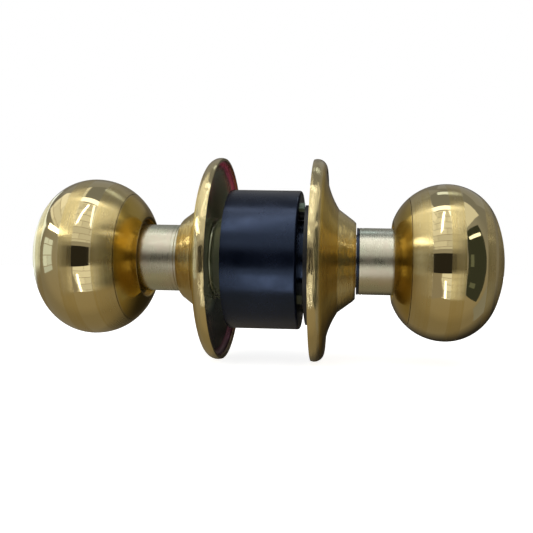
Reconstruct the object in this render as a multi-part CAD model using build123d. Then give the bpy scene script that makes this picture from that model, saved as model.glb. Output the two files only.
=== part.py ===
from build123d import *
import os
from math import acos, atan2, cos, degrees, radians, sin

# A cylindrical passage lockset: two knobs, two roses and the chassis between them.
# Millimetres. X is the lock's axis, with the outside knob at -X and the inside knob at +X.
# +Z is up, and the latch enters the chassis from +Y. The origin is on the axis, midway
# between the roses. Both knobs are alike, so their pieces are drawn on the +X side, where
# out(u) lies u beyond the rose's rim, and are mirrored for the outside.

# ---- driving dimensions -------------------------------------------------------------
DOOR_GAP = 29.6            # between the two roses' rims
PROJECTION = 62.0          # rim plane to knob tip
KNOB_RADIUS = 25.9
ROSE_RADIUS = 33.5
NECK_RADIUS = 11.1
HOUSING_RADIUS = 23.1
SPINDLE_RADIUS = 8.8
FINGER_CIRCLE = 12.0       # where the spindles' fingers push the retractor
FINGER_DEG = 60.0          # a finger's angle from +Y at rest, and the knobs' turn

# ---- fits ---------------------------------------------------------------------------
SHAFT_FIT = 0.1            # radial room round a spindle
SEAT = 0.05                # room between nested pieces of one body
CLEAR = 0.3                # room between pieces that move apart

# ---- knob, places along the axis beyond the rim plane ---------------------------------
KNOB_WIDEST = 43.3
KNOB_SEAM = 31.1           # where the back cup meets the front shell
KNOB_LIP = 26.2            # rear end of the back cup
BACK_ARC = 18.2
SHOULDER_ARC = 16.8
KNOB_SHEET = 0.9
SEAM_GAP_DEG = 0.8
TONGUE_DEG = 5.0           # how far the cup's tongue runs each side of the seam
TONGUE_SHEET = 0.7
LIP_FLOOR = (27.7, 28.5)   # the ring that closes the lip round the neck
LIP_FLOOR_BORE = 11.3
CORE_RADIUS = 10.05
CORE_START = 15.8
CORE_END = 44.0
CORE_WEB = (33.0, 34.2)
CORE_WEB_RADIUS = 20.6

# ---- neck ---------------------------------------------------------------------------
SLEEVE_START = 15.0
SLEEVE_WALL = 1.0
SCRIBE = (16.1, 16.35)     # fine groove round the sleeve
SCRIBE_DEPTH = 0.15
SLEEVE_CHAMFER = 0.2
NECK_RING = (14.3, 14.95)

# ---- rose: (beyond the rim plane, radius) -------------------------------------------
ROSE_SHEET = 0.7
BEAD_RADIUS = 3.2          # the rolled rim's section
BEAD_CENTRE = 1.05
BEAD_START_DEG = 116.0     # the bead's section starts here, a little behind the rim plane
CREASE = (3.95, 29.7)
FLARE_MIDDLE = (5.2, 23.7)
FLARE_END = (8.2, 17.3)
NOSE_START = (8.45, 17.0)
NOSE_SHOULDER = (13.3, 13.4)
NOSE_TIP = (14.0, 12.6)
NOSE_BORE = 11.5
LINER_SHEET = 0.8
LINER_INNER = 16.3
COLLAR_BORE = 12.3
COLLAR = (3.3, 8.6)
COLLAR_WALL = 1.4
COLLAR_WEB = (6.6, 7.4)
COLLAR_WEB_RADIUS = 17.2

# ---- chassis, places from the middle along the axis ----------------------------------
HOUSING = (-12.4, 10.8)    # open outside end, closed inside end
HOUSING_WALL = 1.5
HOUSING_ROUND = 0.8
HOUSING_COLLAR_WALL = 1.2
HOUSING_COLLAR_END = 12.2
CASE_RADIUS = 21.2
CASE_WALL = 1.2
CASE_END = 9.6
CASE_LIP = (10.4, 18.4)    # end, bore radius
TAB_WIDTH = 3.4
TAB_END = 12.4
TAB_SLOT_ROOM = 0.2
TAB_ANGLES = [36 + 90 * corner for corner in range(4)]   # from +Y towards +Z
PLATE = (7.2, 8.4)
FLANGE = (8.4, 9.6)
FLANGE_RADIUS = 19.5
OUTSIDE_SHOULDER = (13.6, 17.4)    # radius, end
INSIDE_SHOULDER = (12.8, 16.6)
HUB_END = 27.8
THREAD_RADIUS = 12.0
THREAD_PITCH = 1.4
THREAD_DEPTH = 0.5
THREAD_TURNS = 7
SHOULDER_ROUND = 1.2
WINDOW = (13.6, 23.0)      # latch window, along X and along Z

# ---- retractor and its springs ------------------------------------------------------
FINGERS = (3.9, 6.9)       # a finger's stretch of the axis
FINGER_HEAD = 1.6
FINGER_WIDTH = 1.6
FINGER_PLAY = 0.25
SPINE = (7.0, 25.2)        # thickness along X, height along Z
SPINE_Y = (-1.0, 12.0)
TAIL = (-5.0, 18.0)        # rear end, height
CLAWS = (16.0, 14.0)       # front end, height
THROAT = (10.5, 6.4)       # rear of the latch slot, width of its mouth
SLOT_HEAD = (13.5, 10.4)   # front of the slot's wide part, its width
SHOULDER_Z = (9.3, 12.6)
SHOULDER_THICKNESS = 3.0
EAR_Y = (8.0, 9.5)
EAR_TIP = 17.0
SPRING_Z = 15.0
SPRING_RADIUS = 1.75
SPRING_WIRE = 0.5
SPRING_TURNS = 9
SPRING_SEAT_Y = (-11.2, -10.0)
SPRING_SEAT_Z = (13.0, 16.2)
STUB_RADIUS = 1.1
STUB_LENGTH = 1.5
GUIDE_Z = (17.3, 18.1)
GUIDE_HALF = 8.3

# ---- inside mounting plate and its fixings -------------------------------------------
BOSS_RADIUS = 21.6
BOSS_START = 12.7
MOUNT_FLANGE_START = 15.1
MOUNT_FLANGE_RADIUS = 30.3
MOUNT_SHEET = 1.2
BOSS_FLAT_Z = 17.2
MOUNT_BORE = 13.1
SCREW_CIRCLE = 16.3
SCREW_ANGLES = (115, 295)  # from +Y towards +Z
SCREW_RADIUS = 1.9
SCREW_HOLE = 2.1
SCREW_TIP = 7.3
SCREW_HEAD = (3.4, 2.2)    # radius, height
SCREW_SLOT = (0.8, 1.0)    # width, depth
CLIP_ANGLES = (0, 120, 240)
CLIP_OUTER = 31.7
CLIP_THICKNESS = 0.6
CLIP_WIDTH = 6.0
CLIP = (15.2, 17.4)

# ---- spindle and knob catch ----------------------------------------------------------
SPINDLE_WALL = 1.0
SPINDLE_END = 42.0
SNAP_RING = (13.2, 13.9)
SNAP_RING_OUTER = 10.6
SNAP_GROOVE = 8.3
SNAP_GAP = 9.0
CATCH_PLACE = 20.0
CATCH_RADIUS = 1.7
CATCH_TIP = 10.9
CATCH_FOOT = (5.0, 6.0)
CATCH_FOOT_RADIUS = 2.6
CATCH_HOLE = 2.0
LEAF_THICKNESS = 0.35
LEAF_WIDTH = 3.6
LEAF_GAP = 5.0
LEAF_ROOM = 0.1

BIG = 100.0                # longer than any piece it cuts


def out(u):
    """The place on the axis that lies u beyond the inside rose's rim plane."""
    return DOOR_GAP / 2 + u


def outside(shape):
    """The same piece on the outside end of the lock."""
    return mirror(shape, about=Plane.YZ)


def disc(radius, start, end):
    """A solid cylinder on the lock's axis."""
    return Pos((start + end) / 2, 0, 0) * Rot(0, 90, 0) * Cylinder(radius, abs(end - start))


def ring(inner, outer, start, end):
    """A tube on the lock's axis."""
    return disc(outer, start, end) - disc(inner, start - 1, end + 1)


def block(x, y, z):
    """A box between the given limits along each axis."""
    size = [high - low for low, high in (x, y, z)]
    middle = [(high + low) / 2 for low, high in (x, y, z)]
    return Pos(*middle) * Box(*size)


def turned(curves):
    """The solid that an outline in the XY plane sweeps round the lock's axis."""
    edges = [edge for curve in curves for edge in curve.edges()]
    return revolve(make_face(Wire(edges)), Axis.X, 360)


def end_edge(shape):
    """The outer edge of a turned piece's far end."""
    return shape.edges().filter_by(GeomType.CIRCLE).group_by(Axis.X)[-1].sort_by(SortBy.RADIUS)[-1]


def around(angle):
    """The turn that carries +Y by angle towards +Z."""
    return Rot(angle, 0, 0)


# ---- roses ----------------------------------------------------------------------------
def rose_outline():
    """The rose's outer face, from the door edge over the bead, the flare and the nose."""
    bead_centre = (out(BEAD_CENTRE), ROSE_RADIUS - BEAD_RADIUS)
    bead = CenterArc(bead_centre, BEAD_RADIUS, BEAD_START_DEG, -BEAD_START_DEG)
    crease, middle, flare_end, nose, shoulder, tip = [
        (out(u), radius)
        for u, radius in (CREASE, FLARE_MIDDLE, FLARE_END, NOSE_START, NOSE_SHOULDER, NOSE_TIP)
    ]
    flare = ThreePointArc(crease, middle, flare_end)
    nose_line = Polyline(flare @ 1, nose, shoulder, tip, (tip[0], NOSE_BORE))
    return Wire([bead.edge(), Line(bead @ 1, crease).edge(), flare.edge(), *nose_line.edges()])


def sheet(outline, inset, thickness):
    """Sheet metal whose outer face lies inset inside the outline, turned round the axis."""
    face = outline
    if inset:
        face = outline.offset_2d(inset, kind=Kind.INTERSECTION, side=Side.RIGHT, closed=False)
    section = face.offset_2d(thickness, kind=Kind.INTERSECTION, side=Side.RIGHT, closed=True)
    return revolve(make_face(section), Axis.X, 360)


def rose():
    """The rose's brass sheet, cut off flat at the rim plane, where it rests on the door."""
    beyond_rim = block((out(0), BIG), (-BIG, BIG), (-BIG, BIG))
    return sheet(rose_outline(), 0, ROSE_SHEET) & beyond_rim


def rose_liner():
    """The plated steel dish inside the outside rose, with the collar that is threaded."""
    dish = sheet(rose_outline(), ROSE_SHEET + SEAT, LINER_SHEET)
    dish &= block((out(ROSE_SHEET), BIG), (-BIG, BIG), (-BIG, BIG))
    dish -= disc(LINER_INNER, 0, BIG)
    collar_outer = COLLAR_BORE + COLLAR_WALL
    collar = ring(COLLAR_BORE, collar_outer, out(COLLAR[0]), out(COLLAR[1]))
    web = ring(collar_outer - SEAT, COLLAR_WEB_RADIUS, out(COLLAR_WEB[0]), out(COLLAR_WEB[1]))
    return dish + web + collar


def rose_clips():
    """Three leaf clips on the mounting plate's edge, which hold the inside rose."""
    leaf = ring(CLIP_OUTER - CLIP_THICKNESS, CLIP_OUTER, *CLIP)
    foot = ring(MOUNT_FLANGE_RADIUS + SEAT, CLIP_OUTER - CLIP_THICKNESS / 2, CLIP[0], CLIP[0] + MOUNT_SHEET)
    clip = (leaf + foot) & strip(CLIP_WIDTH)
    return Compound([around(angle) * clip for angle in CLIP_ANGLES])


# ---- knobs ----------------------------------------------------------------------------
def arc_angle(u):
    """The back arc's angle where the knob's outer face lies u beyond the rim plane."""
    return degrees(acos((u - KNOB_WIDEST) / BACK_ARC))


def back_arc(inset, start, end):
    """Part of the knob's rear face, inset inside it, between two angles."""
    centre = (out(KNOB_WIDEST), KNOB_RADIUS - BACK_ARC)
    return CenterArc(centre, BACK_ARC - inset, start, end - start)


def front_arcs(inset):
    """The shoulder, and the dome that is tangent to it and square to the axis at the tip."""
    depth = PROJECTION - KNOB_WIDEST
    height = KNOB_RADIUS - SHOULDER_ARC
    dome_radius = (depth**2 + height**2 - SHOULDER_ARC**2) / (2 * (depth - SHOULDER_ARC))
    dome_centre = PROJECTION - dome_radius
    meet = degrees(atan2(height, KNOB_WIDEST - dome_centre))
    shoulder = CenterArc((out(KNOB_WIDEST), height), SHOULDER_ARC - inset, 90, meet - 90)
    dome = CenterArc((out(dome_centre), 0), dome_radius - inset, meet, -meet)
    return [shoulder, dome]


def knob_shell():
    """The front shell, from the seam over the widest ring to the tip."""
    seam = arc_angle(KNOB_SEAM)
    outer = [back_arc(0, seam, 90), *front_arcs(0)]
    inner = [back_arc(KNOB_SHEET, seam, 90), *front_arcs(KNOB_SHEET)]
    ends = [Line(outer[0] @ 0, inner[0] @ 0), Line(outer[-1] @ 1, inner[-1] @ 1)]
    return turned(outer + inner + ends)


def knob_back():
    """The back cup, from a tongue under the shell's edge to a rolled lip with an inward floor."""
    seam = arc_angle(KNOB_SEAM)
    edge = seam + SEAM_GAP_DEG
    lip = arc_angle(KNOB_LIP)
    outer = back_arc(0, edge, lip)
    inner = back_arc(KNOB_SHEET, lip, seam + TONGUE_DEG)
    roll = CenterArc(inner @ 0, KNOB_SHEET, lip, 270 - lip)
    tube_height = (roll @ 1).Y
    floor_start, floor_end = [out(u) for u in LIP_FLOOR]
    tube = Polyline(
        roll @ 1,
        (floor_start, tube_height),
        (floor_start, LIP_FLOOR_BORE),
        (floor_end, LIP_FLOOR_BORE),
        (floor_end, tube_height + KNOB_SHEET),
        inner @ 0,
    )
    tongue_top = back_arc(KNOB_SHEET + SEAT, seam - TONGUE_DEG, edge)
    tongue_floor = back_arc(KNOB_SHEET + TONGUE_SHEET, seam + TONGUE_DEG, seam - TONGUE_DEG)
    joins = [
        Line(inner @ 1, tongue_floor @ 0),
        Line(tongue_floor @ 1, tongue_top @ 0),
        Line(tongue_top @ 1, outer @ 0),
    ]
    return turned([outer, roll, tube, inner, tongue_top, tongue_floor, *joins])


def knob_core():
    """The driver inside the knob: a tube over the spindle with a web that carries the shell."""
    bore = SPINDLE_RADIUS + SHAFT_FIT
    tube = ring(bore, CORE_RADIUS, out(CORE_START), out(CORE_END))
    web = ring(bore, CORE_WEB_RADIUS, out(CORE_WEB[0]), out(CORE_WEB[1]))
    return tube + web - catch_hole()


def neck_sleeve():
    """The plated neck, with a fine groove near the rose and a rounded end."""
    start = out(SLEEVE_START)
    inner = NECK_RADIUS - SLEEVE_WALL
    sleeve = ring(inner, NECK_RADIUS, start, out(CORE_WEB[0]))
    rose_end = sleeve.edges().filter_by(GeomType.CIRCLE).group_by(Axis.X)[0]
    sleeve = chamfer(rose_end.sort_by(SortBy.RADIUS)[-1], SLEEVE_CHAMFER)
    groove = ring(NECK_RADIUS - SCRIBE_DEPTH, NECK_RADIUS + 1, out(SCRIBE[0]), out(SCRIBE[1]))
    return sleeve - groove - catch_hole()


def neck_ring():
    """The thin plastic ring between the rose's nose and the sleeve."""
    return ring(SPINDLE_RADIUS + SHAFT_FIT, NECK_RADIUS, out(NECK_RING[0]), out(NECK_RING[1]))


# ---- knob catch -----------------------------------------------------------------------
def toward_latch(radius, start, end):
    """A cylinder along +Y through the knob catch's place on the axis."""
    return Pos(out(CATCH_PLACE), (start + end) / 2, 0) * Rot(90, 0, 0) * Cylinder(radius, end - start)


def catch_hole():
    return toward_latch(CATCH_HOLE, 0, BIG)


def knob_catch():
    """The sprung plunger that holds the knob on its spindle, with a foot inside the bore."""
    return toward_latch(CATCH_RADIUS, CATCH_FOOT[0], CATCH_TIP) + toward_latch(CATCH_FOOT_RADIUS, *CATCH_FOOT)


def catch_spring():
    """An open round leaf between the plunger's foot and the far side of the bore."""
    top = CATCH_FOOT[0] - LEAF_ROOM
    bottom = -(SPINDLE_RADIUS - SPINDLE_WALL - LEAF_ROOM)
    radius = (top - bottom) / 2
    place = out(CATCH_PLACE)
    half = LEAF_WIDTH / 2
    leaf = ring(radius - LEAF_THICKNESS, radius, place - half, place + half)
    gap = around(90) * strip(LEAF_GAP)
    return Pos(0, (top + bottom) / 2, 0) * (leaf - gap)


# ---- spindles -------------------------------------------------------------------------
def finger(angle):
    """One of a spindle's two fingers: a thin arm with a round head."""
    span = FINGERS[1] - FINGERS[0]
    half = FINGER_WIDTH / 2
    arm = block(FINGERS, (SPINDLE_RADIUS - SPINDLE_WALL / 2, FINGER_CIRCLE), (-half, half))
    head = Pos((FINGERS[0] + FINGERS[1]) / 2, FINGER_CIRCLE, 0) * Rot(0, 90, 0) * Cylinder(FINGER_HEAD, span)
    return around(angle) * (arm + head)


def spindle():
    """The tube that a knob turns, with two fingers inside the chassis."""
    tube = ring(SPINDLE_RADIUS - SPINDLE_WALL, SPINDLE_RADIUS, FINGERS[0], out(SPINDLE_END))
    groove = ring(SNAP_GROOVE, BIG, out(SNAP_RING[0]) - SEAT, out(SNAP_RING[1]) + SEAT)
    return tube + finger(FINGER_DEG) + finger(-FINGER_DEG) - groove - catch_hole()


def snap_ring():
    """The open ring in the spindle's groove, which keeps it in the hub."""
    whole = ring(SNAP_GROOVE + SEAT, SNAP_RING_OUTER, out(SNAP_RING[0]), out(SNAP_RING[1]))
    return whole - strip(SNAP_GAP)


# ---- chassis --------------------------------------------------------------------------
def thread(start):
    """A thread drawn as rings, from start along the hub to its end."""
    root = THREAD_RADIUS - THREAD_DEPTH
    points = [(start, 0), (start, root)]
    for turn in range(THREAD_TURNS):
        crest = HUB_END - (THREAD_TURNS - turn) * THREAD_PITCH
        points += [(crest, THREAD_RADIUS), (crest + THREAD_PITCH / 2, root)]
    points += [(HUB_END, root), (HUB_END, 0), points[0]]
    return turned([Polyline(*points)])


def hub(shoulder_radius, shoulder_end):
    """A bearing hub: a flange, a plain shoulder with a rounded end, then the thread."""
    body = disc(shoulder_radius, FLANGE[0], shoulder_end)
    body = fillet(end_edge(body), SHOULDER_ROUND)
    body += disc(FLANGE_RADIUS, *FLANGE)
    body += thread(shoulder_end - 1)
    return body - disc(SPINDLE_RADIUS + SHAFT_FIT, 0, BIG)


def end_plate():
    """The steel plate that bears one side of the retractor."""
    return ring(SPINDLE_RADIUS + SHAFT_FIT, CASE_RADIUS - CASE_WALL - SEAT, *PLATE)


def screw_places():
    """The two screws' middles across the axis."""
    return [
        (SCREW_CIRCLE * cos(radians(angle)), SCREW_CIRCLE * sin(radians(angle)))
        for angle in SCREW_ANGLES
    ]


def screw_holes(radius):
    """Holes for both mounting screws through the inside half of the chassis."""
    hole = disc(radius, 0, BIG)
    return [Pos(0, y, z) * hole for y, z in screw_places()]


def strip(width):
    """A radial cutter of the given width from the axis out along +Y, as long as the lock."""
    return block((-BIG, BIG), (0, BIG), (-width / 2, width / 2))


def latch_window():
    width, height = WINDOW
    return block((-width / 2, width / 2), (0, BIG), (-height / 2, height / 2))


def chassis_case():
    """The steel drum, open towards the latch, with a rolled lip outside and four tabs inside."""
    lip_end, lip_bore = CASE_LIP
    between_tabs = disc(HOUSING_RADIUS, CASE_END, BIG)
    for angle in TAB_ANGLES:
        between_tabs -= around(angle) * strip(TAB_WIDTH)
    drum = disc(CASE_RADIUS, -lip_end, TAB_END) - between_tabs
    drum -= disc(CASE_RADIUS - CASE_WALL, -CASE_END, BIG)
    return drum - disc(lip_bore, -BIG, 0) - latch_window()


def housing_cover():
    """The black drum over the case, closed at the inside end round the tabs and the hub."""
    start, end = HOUSING
    floor = CASE_END
    hub_room = INSIDE_SHOULDER[0] + CLEAR
    cover = disc(HOUSING_RADIUS, start, end)
    cover = fillet(end_edge(cover), HOUSING_ROUND)
    cover += disc(hub_room + HOUSING_COLLAR_WALL, floor, HOUSING_COLLAR_END)
    cover -= disc(HOUSING_RADIUS - HOUSING_WALL, start - 1, floor)
    cover -= disc(hub_room, 0, BIG)
    slot = ring(CASE_RADIUS - CASE_WALL - TAB_SLOT_ROOM, CASE_RADIUS + TAB_SLOT_ROOM, floor - 1, end + 1)
    slot &= strip(TAB_WIDTH + 2 * TAB_SLOT_ROOM)
    for angle in TAB_ANGLES:
        cover -= around(angle) * slot
    for hole in screw_holes(SCREW_HOLE):
        cover -= hole
    return cover - latch_window()


def inside_hub():
    piece = hub(*INSIDE_SHOULDER)
    for hole in screw_holes(SCREW_RADIUS + SEAT):
        piece -= hole
    return piece


def inside_end_plate():
    piece = end_plate()
    for hole in screw_holes(SCREW_RADIUS + SEAT):
        piece -= hole
    return piece


def retractor_guides():
    """Two flat plates between the end plates, over and under the retractor."""
    plate = block((-PLATE[0], PLATE[0]), (-GUIDE_HALF, GUIDE_HALF), GUIDE_Z)
    return Compound([plate, mirror(plate, about=Plane.XY)])


# ---- retractor ------------------------------------------------------------------------
def upright(thickness, y, height):
    """A box across the axis, centred on it in X and Z."""
    return block((-thickness / 2, thickness / 2), y, (-height / 2, height / 2))


def stub(start, end):
    """A round stub along Y that centres a retractor spring."""
    return Pos(0, (start + end) / 2, SPRING_Z) * Rot(90, 0, 0) * Cylinder(STUB_RADIUS, abs(end - start))


def retractor():
    """The slide that the fingers pull towards -Y, with a slot for the latch's tail."""
    thickness, height = SPINE
    spine = upright(thickness, SPINE_Y, height)
    spine += upright(thickness, (TAIL[0], SPINE_Y[0]), TAIL[1])
    spine += upright(thickness, (SPINE_Y[1], CLAWS[0]), CLAWS[1])
    spine -= upright(BIG, (THROAT[0], BIG), THROAT[1])
    spine -= upright(BIG, (THROAT[0], SLOT_HEAD[0]), SLOT_HEAD[1])
    push_face = FINGER_CIRCLE * cos(radians(FINGER_DEG)) - FINGER_HEAD - FINGER_PLAY
    push = (push_face - SHOULDER_THICKNESS, push_face)
    shoulder = block((-FINGERS[1], FINGERS[1]), push, SHOULDER_Z)
    ear = block((-thickness / 2, thickness / 2), EAR_Y, (height / 2 - 1, EAR_TIP))
    wing = shoulder + ear + stub(EAR_Y[0], EAR_Y[0] - STUB_LENGTH)
    return spine + wing + mirror(wing, about=Plane.XY)


def spring_seats():
    """Two bars between the end plates that the retractor springs push against."""
    bar = block((-PLATE[0], PLATE[0]), SPRING_SEAT_Y, SPRING_SEAT_Z)
    seat = bar + stub(SPRING_SEAT_Y[1], SPRING_SEAT_Y[1] + STUB_LENGTH)
    return Compound([seat, mirror(seat, about=Plane.XY)])


def retractor_springs():
    """Two coil springs along Y, one over and one under the axis."""
    start = SPRING_SEAT_Y[1] + SPRING_WIRE / 2
    length = EAR_Y[0] - CLEAR - SPRING_WIRE / 2 - start
    line = Helix(length / SPRING_TURNS, length, SPRING_RADIUS)
    section = Plane(line @ 0, z_dir=line % 0) * Circle(SPRING_WIRE / 2)
    coil = sweep(section, path=line, is_frenet=True)
    coil = Pos(0, start, SPRING_Z) * Rot(-90, 0, 0) * coil
    return Compound([coil, mirror(coil, about=Plane.XY)])


# ---- inside mounting plate ------------------------------------------------------------
def inside_mounting_plate():
    """The dished plate that clamps the door, its boss cut flat at the top."""
    boss = ring(MOUNT_BORE, BOSS_RADIUS, BOSS_START, BOSS_START + MOUNT_SHEET)
    flange_end = MOUNT_FLANGE_START + MOUNT_SHEET
    boss += ring(BOSS_RADIUS - MOUNT_SHEET, BOSS_RADIUS, BOSS_START, flange_end)
    boss -= block((0, MOUNT_FLANGE_START), (-BIG, BIG), (BOSS_FLAT_Z, BIG))
    plate = boss + ring(BOSS_RADIUS - MOUNT_SHEET, MOUNT_FLANGE_RADIUS, MOUNT_FLANGE_START, flange_end)
    for hole in screw_holes(SCREW_HOLE):
        plate -= hole
    return plate


def mounting_screws():
    """Two slotted screws from the mounting plate into the chassis."""
    seat = BOSS_START + MOUNT_SHEET
    head_radius, head_height = SCREW_HEAD
    slot_width, slot_depth = SCREW_SLOT
    head = disc(head_radius, seat, seat + head_height)
    head -= block((seat + head_height - slot_depth, BIG), (-BIG, BIG), (-slot_width / 2, slot_width / 2))
    screw = disc(SCREW_RADIUS, SCREW_TIP, seat) + head
    return Compound([Pos(0, y, z) * screw for y, z in screw_places()])


# ---- the set of pieces ----------------------------------------------------------------
def pieces():
    """Every piece by name."""
    found = {
        "housing_cover": housing_cover(),
        "chassis_case": chassis_case(),
        "outside_end_plate": outside(end_plate()),
        "inside_end_plate": inside_end_plate(),
        "outside_hub": outside(hub(*OUTSIDE_SHOULDER)),
        "inside_hub": inside_hub(),
        "retractor_guides": retractor_guides(),
        "retractor": retractor(),
        "spring_seats": spring_seats(),
        "retractor_springs": retractor_springs(),
        "inside_mounting_plate": inside_mounting_plate(),
        "mounting_screws": mounting_screws(),
        "inside_rose": rose(),
        "rose_clips": rose_clips(),
        "outside_rose": outside(rose()),
        "rose_liner": outside(rose_liner()),
    }
    both_ends = {
        "spindle": spindle(),
        "snap_ring": snap_ring(),
        "neck_ring": neck_ring(),
        "neck_sleeve": neck_sleeve(),
        "knob_core": knob_core(),
        "knob_back": knob_back(),
        "knob_shell": knob_shell(),
        "knob_catch": knob_catch(),
        "catch_spring": catch_spring(),
    }
    for name, shape in both_ends.items():
        found["inside_" + name] = shape
        found["outside_" + name] = outside(shape)
    return found


os.makedirs("parts", exist_ok=True)
for name, shape in pieces().items():
    export_step(shape, f"parts/{name}.step")
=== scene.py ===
import math

import bmesh
import bpy
from mathutils import Matrix, Vector


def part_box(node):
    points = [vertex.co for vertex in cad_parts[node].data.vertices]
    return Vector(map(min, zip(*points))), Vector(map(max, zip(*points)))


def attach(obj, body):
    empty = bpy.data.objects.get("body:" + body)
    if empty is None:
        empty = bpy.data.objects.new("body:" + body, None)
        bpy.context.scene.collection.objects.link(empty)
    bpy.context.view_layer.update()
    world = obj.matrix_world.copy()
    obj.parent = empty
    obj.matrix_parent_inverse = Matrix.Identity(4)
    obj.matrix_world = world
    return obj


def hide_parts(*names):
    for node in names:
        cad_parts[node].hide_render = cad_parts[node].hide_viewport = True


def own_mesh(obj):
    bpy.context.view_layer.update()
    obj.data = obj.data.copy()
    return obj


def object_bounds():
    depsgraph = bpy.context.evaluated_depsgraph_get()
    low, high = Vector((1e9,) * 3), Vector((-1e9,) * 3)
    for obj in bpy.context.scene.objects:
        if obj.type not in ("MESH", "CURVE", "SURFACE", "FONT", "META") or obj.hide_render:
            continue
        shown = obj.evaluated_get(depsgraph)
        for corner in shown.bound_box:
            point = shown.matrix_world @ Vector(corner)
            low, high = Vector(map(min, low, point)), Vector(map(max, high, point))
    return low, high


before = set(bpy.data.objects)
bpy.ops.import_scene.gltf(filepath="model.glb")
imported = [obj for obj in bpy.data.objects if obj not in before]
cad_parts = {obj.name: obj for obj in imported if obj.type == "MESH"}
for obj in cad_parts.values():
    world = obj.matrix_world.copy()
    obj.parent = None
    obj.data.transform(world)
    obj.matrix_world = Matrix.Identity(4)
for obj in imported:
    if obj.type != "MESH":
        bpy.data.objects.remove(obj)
cad_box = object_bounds()
scene = bpy.context.scene

# The lock's axis is X, with the outside knob at -X. The camera stands on the -Y side.
# Sizes are in metres, and in the materials' own nodes in millimetres.
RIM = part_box("inside_rose")[0].x
FLOOR_Z = cad_box[0].z
TENT_RADIUS = 1.6
FLOOR_REACH = 3.0
CARD_DISTANCE = 1.1
FLAG_DISTANCE = 0.8
# Azimuth and elevation in degrees of the middle of the tent's dark side.
DARK_SIDE = (158, -16)

# The camera's place, and its turns in degrees, as fitted to the photo's outlines.
CAMERA_PLACE = (0.0273, -0.2155, -0.002)
CAMERA_YAW = 3.0
CAMERA_ROLL = 1.15
CAMERA_LENS = 43.6
CAMERA_SHIFT = -0.0949


# ---- materials ------------------------------------------------------------------------
class Finish:
    """A material whose nodes are added by plain calls. A value is a number or another node's output."""

    def __init__(self, name):
        self.material = bpy.data.materials.new(name)
        self.material.use_nodes = True
        self.tree = self.material.node_tree
        self.shader = self.tree.nodes["Principled BSDF"]

    def node(self, kind, values=(), output=0, **settings):
        """Adds a node, sets its inputs by name or number, and returns one of its outputs."""
        made = self.tree.nodes.new("ShaderNode" + kind)
        for name, setting in settings.items():
            setattr(made, name, setting)
        for key, value in dict(values).items():
            self.put(made.inputs[key], value)
        return made.outputs[output]

    def put(self, socket, value):
        """Gives a socket a fixed value, or joins another node's output to it."""
        if isinstance(value, bpy.types.NodeSocket):
            self.tree.links.new(value, socket)
        else:
            socket.default_value = value

    def place(self):
        """Where a point of the surface is, in the object's own metres."""
        return self.node("TexCoord", output="Object")

    def axes(self):
        """The x, y and z of the place."""
        split = self.tree.nodes.new("ShaderNodeSeparateXYZ")
        self.put(split.inputs[0], self.place())
        return split.outputs

    def scaled(self, vector, factors):
        """A vector with each of its parts multiplied."""
        return self.node("VectorMath", {0: vector, 1: factors}, operation="MULTIPLY")

    def math(self, operation, a, b=0.0):
        """One sum with numbers."""
        return self.node("Math", {0: a, 1: b}, operation=operation)

    def stops(self, value, places):
        """A number that follows value through (place, number) pairs, straight between them."""
        ramp = self.tree.nodes.new("ShaderNodeValToRGB")
        low, high = places[0][0], places[-1][0]
        self.put(ramp.inputs[0], self.node("MapRange", {0: value, 1: low, 2: high, 3: 0.0, 4: 1.0}))
        points = ramp.color_ramp.elements
        for index, (place, number) in enumerate(places):
            if index > 1:
                points.new(1.0)
            points[min(index, len(points) - 1)].position = (place - low) / (high - low)
            points[min(index, len(points) - 1)].color = (number, number, number, 1)
        return ramp.outputs[0]

    def noise(self, vector, scale, detail=3.0, rough=0.5):
        """Soft noise round the middle of 0 to 1."""
        values = {"Vector": vector, "Scale": scale, "Detail": detail, "Roughness": rough}
        return self.node("TexNoise", values)

    def spread(self, value, low, high, start=0.35, end=0.65):
        """Value stretched from its usual middle range to low..high."""
        return self.node("MapRange", {0: value, 1: start, 2: end, 3: low, 4: high})

    def blend(self, factor, first, second):
        """A colour between two colours."""
        made = self.tree.nodes.new("ShaderNodeMix")
        made.data_type = "RGBA"
        self.put(made.inputs["Factor"], factor)
        self.put(made.inputs["A"], first)
        self.put(made.inputs["B"], second)
        return made.outputs["Result"]

    def mottle(self, noise, first, second):
        """Blotches of two colours."""
        return self.blend(self.spread(noise, 0.0, 1.0), first, second)

    def bump(self, height, distance, normal=None):
        """The normal that a height in millimetres gives."""
        values = {"Height": height, "Distance": distance / 1000, "Strength": 1.0}
        if normal:
            values["Normal"] = normal
        return self.node("Bump", values)

    def shade(self, **values):
        """Sets the shader's inputs, with _ for the spaces in their names."""
        for name, value in values.items():
            self.put(self.shader.inputs[name.replace("_", " ")], value)


def colour(red, green, blue):
    """An opaque colour."""
    return (red, green, blue, 1.0)


def turned(finish):
    """A turned piece's coordinates: mm beyond the rim, the radius, and a vector along its lathe lines."""
    x, y, z = finish.axes()
    beyond = finish.math("MULTIPLY", finish.math("SUBTRACT", finish.math("ABSOLUTE", x), RIM), 1000.0)
    squares = finish.math("ADD", finish.math("POWER", y, 2.0), finish.math("POWER", z, 2.0))
    radius = finish.math("POWER", squares, 0.5)
    values = {
        0: finish.math("MULTIPLY", x, 1000.0),
        1: finish.math("DIVIDE", y, radius),
        2: finish.math("DIVIDE", z, radius),
    }
    return beyond, radius, finish.node("CombineXYZ", values)


def lathe_lines(finish, along, squeeze):
    """Fine lines round the axis, from 0 to 1."""
    return finish.noise(finish.scaled(along, (squeeze, 0.7, 0.7)), 1.0, detail=4.0, rough=0.7)


def smudges(finish, scale):
    """Soft blotches from 0 to 1."""
    return finish.noise(finish.place(), scale, detail=4.0, rough=0.6)


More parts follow.
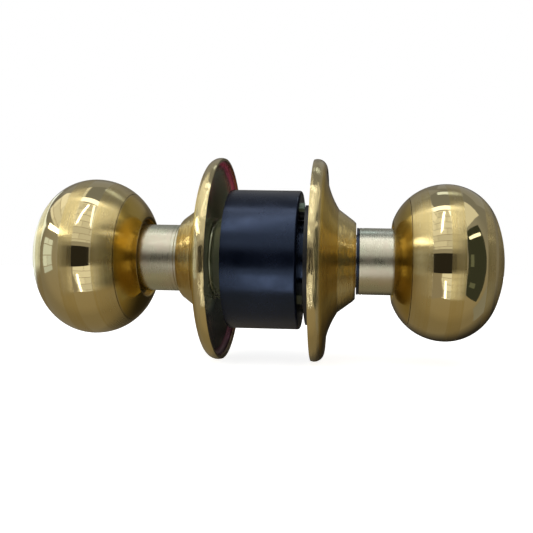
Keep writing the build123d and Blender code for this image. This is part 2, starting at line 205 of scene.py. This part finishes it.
BRASS = colour(0.78, 0.66, 0.37)
BRASS_WORN = colour(0.74, 0.58, 0.24)
# Painted reflection: the deeper orange of brass reflecting brass, painted on the cups and flares.
BRASS_PAINTED_REFLECTION = colour(0.60, 0.42, 0.10)
SATIN = 0.24
MIRROR = 0.045

# The turned bands: mm beyond the rim, and the roughness from there on.
KNOB_BANDS = [
    (25.0, 0.16),
    (31.0, SATIN),
    (36.7, MIRROR),
    (42.0, SATIN),
    (46.4, MIRROR),
    (53.0, SATIN),
    (56.0, 0.12),
    (57.0, SATIN),
]
ROSE_BANDS = [(-1.0, 0.18), (3.4, 0.32), (8.3, SATIN)]
# Painted reflection: how deep in colour the brass is painted, from 0 to 1, at mm beyond the rim. Cups and
# flares are painted the deepest, standing in for brass reflecting brass.
KNOB_PAINTED_REFLECTION = [(25.0, 1.0), (30.7, 1.0), (31.0, 0.0), (63.0, 0.0)]
ROSE_PAINTED_REFLECTION = [(-1.0, 0.0), (2.8, 0.05), (3.8, 0.95), (8.0, 0.8), (8.4, 0.25), (15.0, 0.25)]
# How wide in mm the step from one band to the next is.
BAND_EDGE = 0.12
# Waves per mm along the axis, and per radian round it.
WAVE = (1.1, 5.0, 5.0)
# How high in mm the slight ripple of the sheet is.
KNOB_RIPPLE = 0.002
ROSE_RIPPLE = 0.2


def banded(finish, place, bands, last):
    """Roughness that changes sharply from band to band, up to the last place."""
    places = []
    previous = bands[0][1]
    for start, rough in bands:
        places += [(start - BAND_EDGE, previous), (start, rough)]
        previous = rough
    return finish.stops(place, places + [(last, previous)])


def brass(name, bands, painted_reflection, ripple):
    """Lacquered brass with turned bands, fine lathe lines, smudges and a slight ripple, and a painted
    reflection: a deeper orange where brass faces brass.
    """
    finish = Finish(name)
    beyond, _, along = turned(finish)
    rough = banded(finish, beyond, bands, painted_reflection[-1][0])
    lines = lathe_lines(finish, along, 9.0)
    coarse = lathe_lines(finish, along, 2.2)
    smudge = smudges(finish, 160.0)
    satin = finish.node("MapRange", {0: rough, 1: 0.2, 2: SATIN, 3: 0.0, 4: 1.0})
    vary = finish.math("MULTIPLY", finish.spread(coarse, 0.92, 1.08), finish.spread(smudge, 0.92, 1.1))
    worn = finish.math("MULTIPLY", finish.spread(lines, 0.2, 1.0), satin)
    # Painted reflection: the tone is painted deep orange on the cups and flares, for brass reflecting
    # brass.
    tone = finish.blend(finish.stops(beyond, painted_reflection), finish.blend(worn, BRASS, BRASS_WORN), BRASS_PAINTED_REFLECTION)
    wave = finish.bump(finish.noise(finish.scaled(along, WAVE), 1.0), ripple)
    finish.shade(
        Base_Color=tone,
        Metallic=1.0,
        Roughness=finish.math("MULTIPLY", rough, vary),
        Anisotropic=1.0,
        Anisotropic_Rotation=0.25,
        Normal=finish.bump(finish.math("MULTIPLY", lines, satin), 0.0006, wave),
        Tangent=finish.node("Tangent", direction_type="RADIAL", axis="X"),
    )
    return finish.material


def neck_plate():
    """Bright plated steel, a little stained."""
    finish = Finish("neck_plate")
    _, _, along = turned(finish)
    stain = smudges(finish, 120.0)
    lines = lathe_lines(finish, along, 4.0)
    tone = finish.mottle(stain, colour(0.66, 0.69, 0.55), colour(0.70, 0.64, 0.53))
    finish.shade(
        Base_Color=tone,
        Metallic=1.0,
        Roughness=finish.math("ADD", finish.spread(stain, 0.2, 0.3), finish.spread(lines, 0.0, 0.06)),
        Anisotropic=0.3,
        Normal=finish.bump(finish.noise(finish.place(), 260.0), 0.03),
        Tangent=finish.node("Tangent", direction_type="RADIAL", axis="X"),
    )
    return finish.material


def chromate():
    """Zinc chromate: an olive and teal film, paler near the axis for the hub's lighter zinc and a painted
    highlight, painted near black low down as painted shade, with pink round the inside of the rim,
    strongest at the top.
    """
    finish = Finish("zinc_chromate")
    _, radius, _ = turned(finish)
    radius = finish.math("MULTIPLY", radius, 1000.0)
    film = smudges(finish, 30.0)
    height = finish.math("MULTIPLY", finish.axes()[2], 1000.0)
    outer = finish.stops(radius, [(0.0, 0.0), (17.0, 0.0), (19.0, 1.0), (40.0, 1.0)])
    # Painted shade: beyond 19 mm from the axis, the film is painted near black low down, where the drum's
    # shade falls inside the rose.
    low = finish.stops(height, [(-26.0, 1.0), (-8.0, 0.8), (4.0, 0.0)])
    painted_shade = finish.math("MULTIPLY", outer, low)
    olive = finish.mottle(film, colour(0.36, 0.33, 0.19), colour(0.16, 0.29, 0.24))
    # Partly painted highlight: within 17 mm of the axis the film is painted paler, for the hub's lighter
    # zinc and for its sheen.
    olive = finish.blend(outer, colour(0.42, 0.44, 0.29), olive)
    ring = finish.math("ADD", radius, finish.spread(film, -0.6, 0.6))
    rim = finish.stops(ring, [(0.0, 0.0), (30.6, 0.0), (31.5, 1.0), (32.4, 0.6), (33.0, 0.2)])
    rim = finish.math("MULTIPLY", rim, finish.stops(height, [(-26.0, 0.15), (0.0, 0.1), (12.0, 1.0)]))
    # Painted shade: the near black that the lower film is painted.
    tone = finish.blend(painted_shade, olive, colour(0.012, 0.014, 0.012))
    finish.shade(
        Base_Color=finish.blend(rim, tone, colour(0.95, 0.16, 0.32)),
        Metallic=0.7,
        Roughness=finish.spread(film, 0.2, 0.3),
    )
    return finish.material


def black_plastic():
    """Moulded black plastic with a slight grain and scuffs, and a painted blue tint in its reflections."""
    finish = Finish("black_plastic")
    grain = finish.noise(finish.place(), 1500.0, detail=2.0)
    blotch = smudges(finish, 90.0)
    worn = finish.noise(finish.place(), 55.0, detail=6.0, rough=0.75)
    scuff = finish.spread(worn, 0.0, 1.0, 0.62, 0.72)
    navy = finish.mottle(blotch, colour(0.001, 0.002, 0.006), colour(0.002, 0.003, 0.009))
    finish.shade(
        Base_Color=finish.blend(scuff, navy, colour(0.022, 0.028, 0.042)),
        Roughness=finish.spread(blotch, 0.19, 0.3),
        IOR=1.7,
        # Painted reflection colour: the reflections are tinted blue, standing in for cool light on the
        # plastic.
        Specular_Tint=colour(0.42, 0.58, 1.0),
        Normal=finish.bump(grain, 0.004),
    )
    return finish.material


def steel(name, tone, rough):
    """Plated sheet steel with faint blotches."""
    finish = Finish(name)
    blotch = smudges(finish, 140.0)
    darker = colour(*[0.8 * part for part in tone])
    finish.shade(
        Base_Color=finish.mottle(blotch, colour(*tone), darker),
        Metallic=1.0,
        Roughness=finish.spread(blotch, 0.8 * rough, 1.2 * rough),
    )
    return finish.material


def black_steel():
    """Steel with a satin black coat."""
    finish = Finish("black_steel")
    blotch = smudges(finish, 200.0)
    tone = finish.mottle(blotch, colour(0.008, 0.008, 0.010), colour(0.02, 0.02, 0.023))
    finish.shade(
        Base_Color=tone,
        Roughness=finish.spread(blotch, 0.3, 0.45),
    )
    return finish.material


def paint_frame():
    """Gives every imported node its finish."""
    by_slot = {
        "knob_brass": brass("knob_brass", KNOB_BANDS, KNOB_PAINTED_REFLECTION, KNOB_RIPPLE),
        "rose_brass": brass("rose_brass", ROSE_BANDS, ROSE_PAINTED_REFLECTION, ROSE_RIPPLE),
        "neck_plate": neck_plate(),
        "black_plastic": black_plastic(),
        "zinc_steel": steel("zinc_steel", (0.62, 0.62, 0.58), 0.28),
        "zinc_chromate": chromate(),
        "black_steel": black_steel(),
        "spring_steel": steel("spring_steel", (0.5, 0.5, 0.52), 0.25),
    }
    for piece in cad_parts.values():
        for slot in piece.material_slots:
            slot.material = by_slot[slot.material.name.split(".")[0]]


# ---- springs --------------------------------------------------------------------------
# Node, the body it rides on, the joint that presses it, and that joint's travel in metres.
SPRINGS = [
    ("retractor_springs", "chassis", "retractor_slide", 0.012),
    ("outside_catch_spring", "outside_knob", "outside_catch_press", 0.0022),
    ("inside_catch_spring", "inside_knob", "inside_catch_press", 0.0022),
]


def pressed_spring(node, body, joint, travel):
    """Shows a spring by a copy of its node that rides on its body, in place of the node. The joint is not
    used.
    """
    piece = bpy.data.objects.new(node + "_pressed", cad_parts[node].data.copy())
    scene.collection.objects.link(piece)
    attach(piece, body)
    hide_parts(node)
    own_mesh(piece)


# ---- stage ----------------------------------------------------------------------------
def sheet_mesh(name, corners):
    """A flat piece of stage from its corners."""
    mesh = bpy.data.meshes.new(name)
    mesh.from_pydata(corners, [], [tuple(range(len(corners)))])
    piece = bpy.data.objects.new(name, mesh)
    scene.collection.objects.link(piece)
    return piece


def glow(name, tone, strength):
    """A surface that only shines."""
    finish = Finish(name)
    finish.shade(
        Base_Color=colour(0, 0, 0),
        Specular_IOR_Level=0.0,
        Emission_Color=colour(*tone),
        Emission_Strength=strength,
    )
    return finish


def panelled(finish, tone):
    """Turns a shining surface into panels with dark joints, each a little lighter or darker."""
    values = {
        "Vector": finish.node("TexCoord", output="Object"),
        "Color1": colour(*tone),
        "Color2": colour(*[0.7 * part for part in tone]),
        "Mortar": colour(0.3, 0.24, 0.18),
        "Mortar Size": 0.014,
        "Scale": 2.4,
        "Brick Width": 1.7,
        "Row Height": 0.44,
    }
    finish.shade(Emission_Color=finish.node("TexBrick", values))


def facing(azimuth, elevation):
    """The way from the lock to a card: azimuth 0 is towards the camera's side, 90 towards +X."""
    side, up = math.radians(azimuth), math.radians(elevation)
    return Vector((math.sin(side) * math.cos(up), -math.cos(side) * math.cos(up), math.sin(up)))


def card(name, azimuth, elevation, width, height, tone, strength, panels=False, distance=CARD_DISTANCE):
    """A glowing rectangle that faces the lock, its place, width and height in degrees."""
    side = distance * math.tan(math.radians(width / 2))
    up = distance * math.tan(math.radians(height / 2))
    piece = sheet_mesh(name, [(side, -up, 0), (-side, -up, 0), (-side, up, 0), (side, up, 0)])
    way = facing(azimuth, elevation)
    turn = way.to_track_quat("-Z", "Y").to_matrix().to_4x4()
    piece.matrix_world = Matrix.Translation(way * distance) @ turn
    finish = glow(name, tone, strength)
    if panels:
        panelled(finish, tone)
    piece.data.materials.append(finish.material)
    piece.visible_camera = False


TAN = (1.0, 0.89, 0.72)
PALE = (1.0, 0.98, 0.90)
COOL = (0.82, 0.92, 1.0)
GREEN = (0.82, 0.92, 0.70)
WHITE = (1.0, 1.0, 1.0)
# Name, azimuth, elevation, width and height in degrees, tone, strength, True for panels, and the distance.
# The flag is a plain dark card that keeps the middle of the turned bands dark.
CARDS = [
    ("overhead", -10, 84, 40, 8, WHITE, 2.0),
    ("behind_top", 165, 62, 20, 8, COOL, 1.2),
    ("ceiling", -6, 49, 56, 60, PALE, 0.9, True),
    ("tube_up", 15, 58, 3, 38, WHITE, 2.5),
    ("tube_up_left", -19, 54, 3, 44, WHITE, 5.0),
    ("ground", 6, -31, 42, 42, PALE, 0.95, True),
    ("ground_left", -34, -32, 32, 36, TAN, 0.3),
    ("tube_down", -8, -38, 3, 26, WHITE, 4.0),
    ("strip_left", -64, 26, 40, 5, PALE, 6.0),
    ("strip_right", 58, 31, 26, 4, PALE, 2.0),
    ("window", -72, 0, 24, 30, COOL, 1.0, True),
    ("left_hall", -84, 52, 60, 44, PALE, 1.1, True),
    ("left_back", -118, 8, 44, 30, COOL, 1.4),
    ("right_wall", 56, 0, 42, 84, GREEN, 0.05),
    ("right_ceiling", 70, 60, 40, 26, PALE, 0.8),
    ("right_low", 100, -30, 26, 36, PALE, 0.25),
    ("right_door", 44, 3, 7, 14, GREEN, 0.18),
    ("right_shelf", 50, -26, 12, 6, GREEN, 0.16),
    ("back_left", -150, 45, 40, 26, WHITE, 0.3),
    ("back_right", 150, 35, 40, 26, WHITE, 0.3),
    ("flag", -9, -1, 48, 28, TAN, 0.025, False, FLAG_DISTANCE),
]


def tent():
    """A light tent that the camera doesn't see, brighter in front and dark on one side."""
    mesh = bpy.data.meshes.new("tent")
    ball = bmesh.new()
    bmesh.ops.create_uvsphere(ball, u_segments=48, v_segments=24, radius=TENT_RADIUS)
    ball.to_mesh(mesh)
    ball.free()
    piece = bpy.data.objects.new("tent", mesh)
    scene.collection.objects.link(piece)
    piece.visible_camera = False
    finish = glow("tent", (1.0, 0.95, 0.86), 1.0)
    _, y, z = finish.axes()
    front = finish.node("MapRange", {0: y, 1: -TENT_RADIUS, 2: TENT_RADIUS, 3: 1.0, 4: 0.0})
    up = finish.node("MapRange", {0: z, 1: -TENT_RADIUS, 2: TENT_RADIUS, 3: 0.0, 4: 1.0})
    level = finish.stops(front, [(0.0, 0.22), (0.45, 0.24), (0.6, 0.31), (1.0, 0.36)])
    values = {0: finish.place(), 1: facing(*DARK_SIDE)}
    across = finish.node("VectorMath", values, output=1, operation="DOT_PRODUCT")
    towards = finish.math("DIVIDE", across, TENT_RADIUS)
    dark = finish.stops(towards, [(-1.0, 1.0), (0.7, 1.0), (0.96, 0.12), (1.0, 0.12)])
    finish.shade(
        Emission_Color=finish.blend(up, colour(1.0, 0.82, 0.5), colour(0.95, 0.97, 1.0)),
        Emission_Strength=finish.math("MULTIPLY", level, dark),
    )
    mesh.materials.append(finish.material)


def floor():
    """A pale glowing table that the roses' rims stand on."""
    corners = [(-1, -1), (1, -1), (1, 1), (-1, 1)]
    piece = sheet_mesh("floor", [(x * FLOOR_REACH, y * FLOOR_REACH, FLOOR_Z) for x, y in corners])
    finish = glow("floor", WHITE, 0.85)
    finish.shade(Base_Color=colour(0.8, 0.8, 0.8))
    piece.data.materials.append(finish.material)
    piece.visible_glossy = False


def backdrop():
    """A plain white world."""
    world = bpy.data.worlds.new("backdrop")
    scene.world = world
    world.use_nodes = True
    world.node_tree.nodes["Background"].inputs[0].default_value = colour(*WHITE)


def camera():
    """Level with the axis, a little right of the middle, as far off as a hand-held phone."""
    made = bpy.data.objects.new("camera", bpy.data.cameras.new("camera"))
    scene.collection.objects.link(made)
    made.data.lens = CAMERA_LENS
    made.data.shift_x = CAMERA_SHIFT
    made.data.clip_start = 0.01
    made.matrix_world = (
        Matrix.Translation(CAMERA_PLACE)
        @ Matrix.Rotation(math.radians(CAMERA_YAW), 4, "Z")
        @ Matrix.Rotation(math.radians(90), 4, "X")
        @ Matrix.Rotation(math.radians(CAMERA_ROLL), 4, "Z")
    )
    scene.camera = made


paint_frame()
for row in SPRINGS:
    pressed_spring(*row)
tent()
for row in CARDS:
    card(*row)
floor()
backdrop()
camera()
scene.view_settings.view_transform = "Standard"
